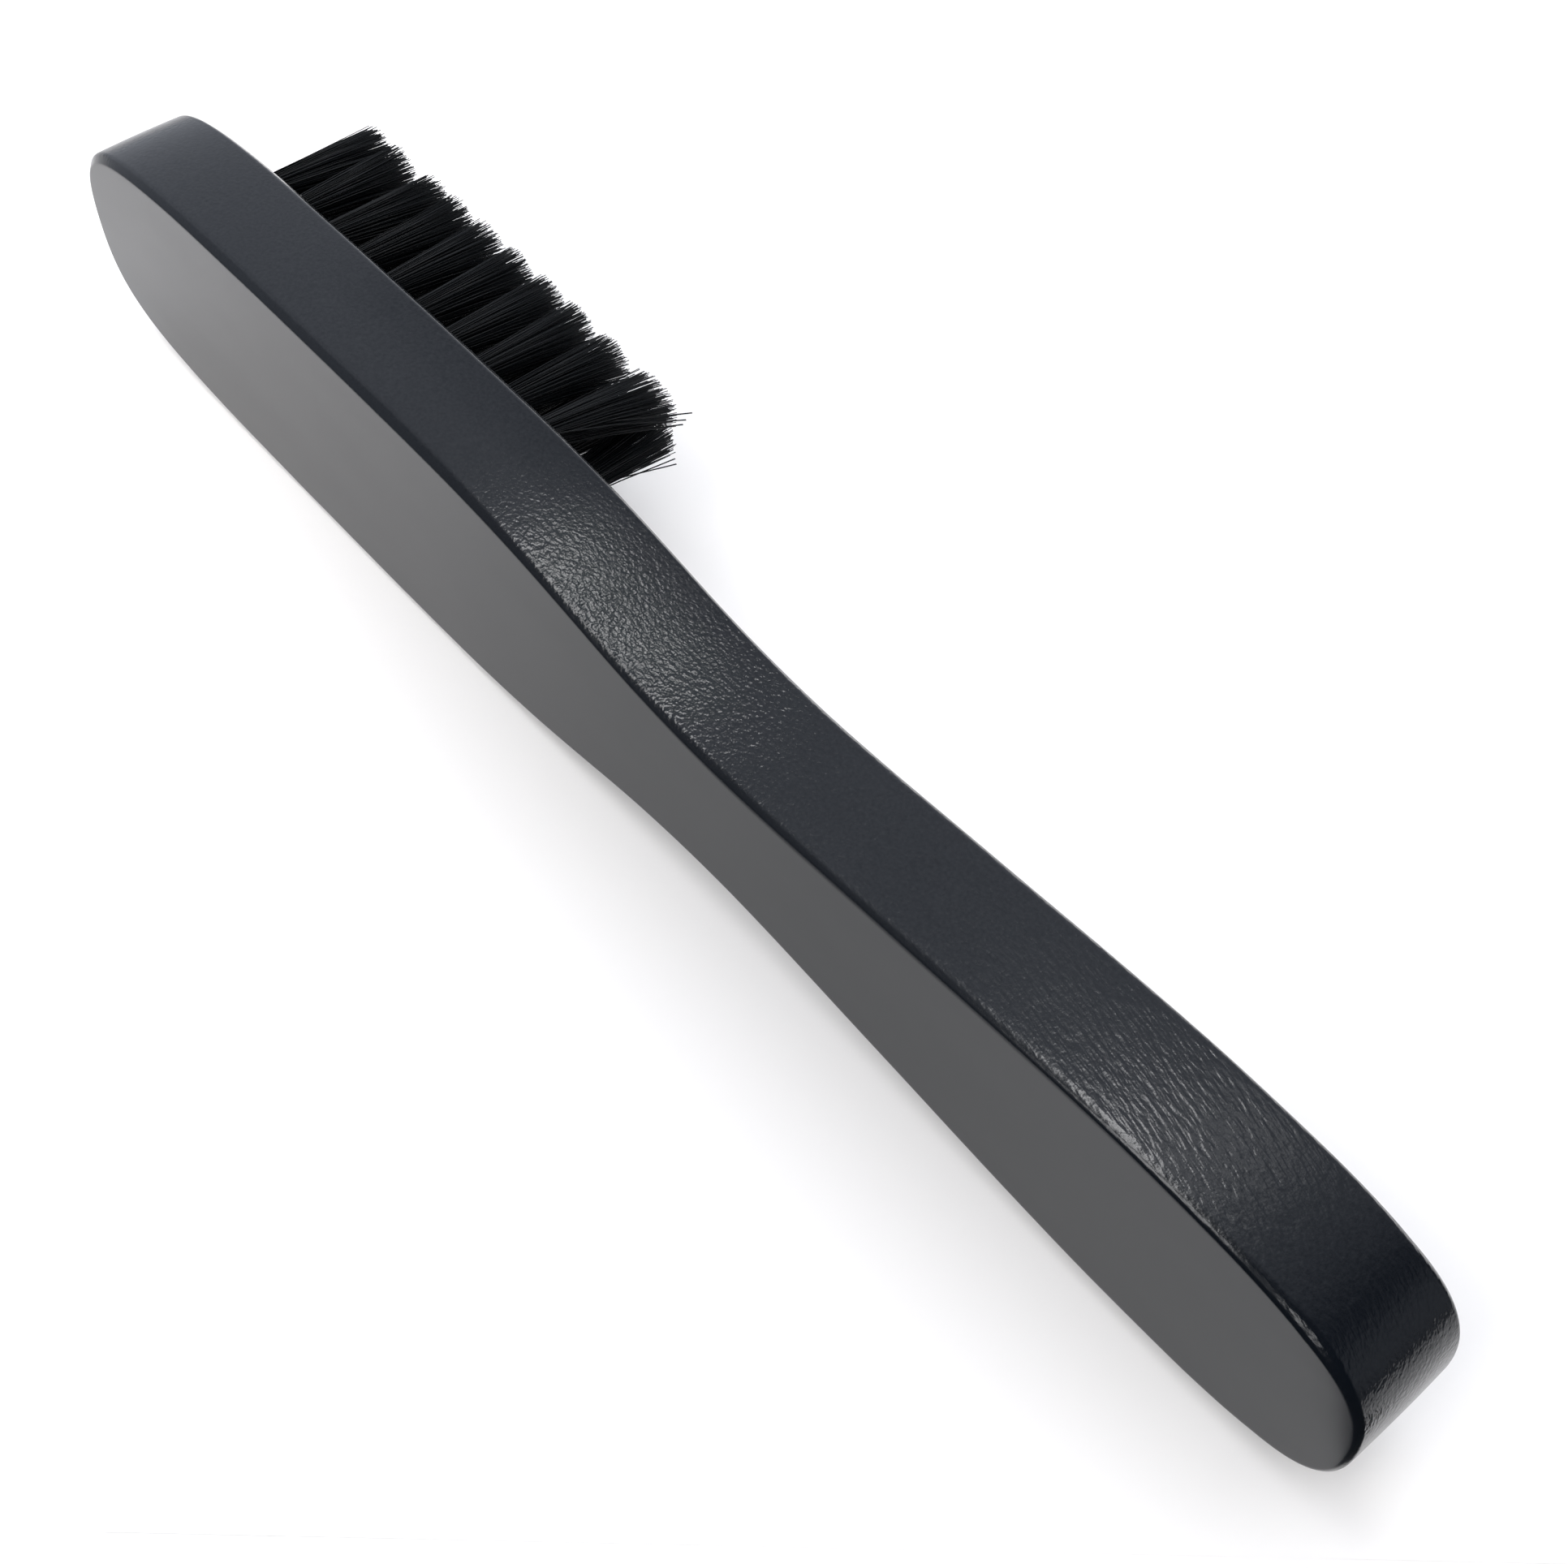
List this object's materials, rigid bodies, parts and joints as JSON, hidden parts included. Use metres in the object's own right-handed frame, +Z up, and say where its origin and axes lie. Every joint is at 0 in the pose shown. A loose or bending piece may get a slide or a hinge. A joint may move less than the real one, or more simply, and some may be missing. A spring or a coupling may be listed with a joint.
{
  "type": "wooden hand brush with anchor-set tufts",
  "caption": "Waisted, flat-backed wooden hand brush of the barber's kind, painted black, with two staggered rows of short black bristle tufts set in its head.",
  "frame": {"origin": "on the ground under the middle of the brush as it lies on one long edge", "axes": "+X from the toe of the head to the heel of the handle, +Y from the flat back to the bristle tips, +Z up, from the long edge that it lies on to the other"},
  "size_m": [0.178, 0.0278, 0.0277],
  "materials": {
    "painted_wood": "satin black paint over fine-grained wood",
    "black_bristle": "black filament, lightly glossy along its length",
    "anchor_wire": "plain drawn flat wire"
  },
  "bodies": {
    "root": {"handle": "painted_wood", "bristle_row_upper": "black_bristle", "bristle_row_lower": "black_bristle", "anchor_upper_01": "anchor_wire", "anchor_upper_02": "anchor_wire", "anchor_upper_03": "anchor_wire", "anchor_upper_04": "anchor_wire", "anchor_upper_05": "anchor_wire", "anchor_upper_06": "anchor_wire", "anchor_upper_07": "anchor_wire", "anchor_upper_08": "anchor_wire", "anchor_upper_09": "anchor_wire", "anchor_upper_10": "anchor_wire", "anchor_lower_01": "anchor_wire", "anchor_lower_02": "anchor_wire", "anchor_lower_03": "anchor_wire", "anchor_lower_04": "anchor_wire", "anchor_lower_05": "anchor_wire", "anchor_lower_06": "anchor_wire", "anchor_lower_07": "anchor_wire", "anchor_lower_08": "anchor_wire", "anchor_lower_09": "anchor_wire", "anchor_lower_10": "anchor_wire"}
  },
  "joints": []
}
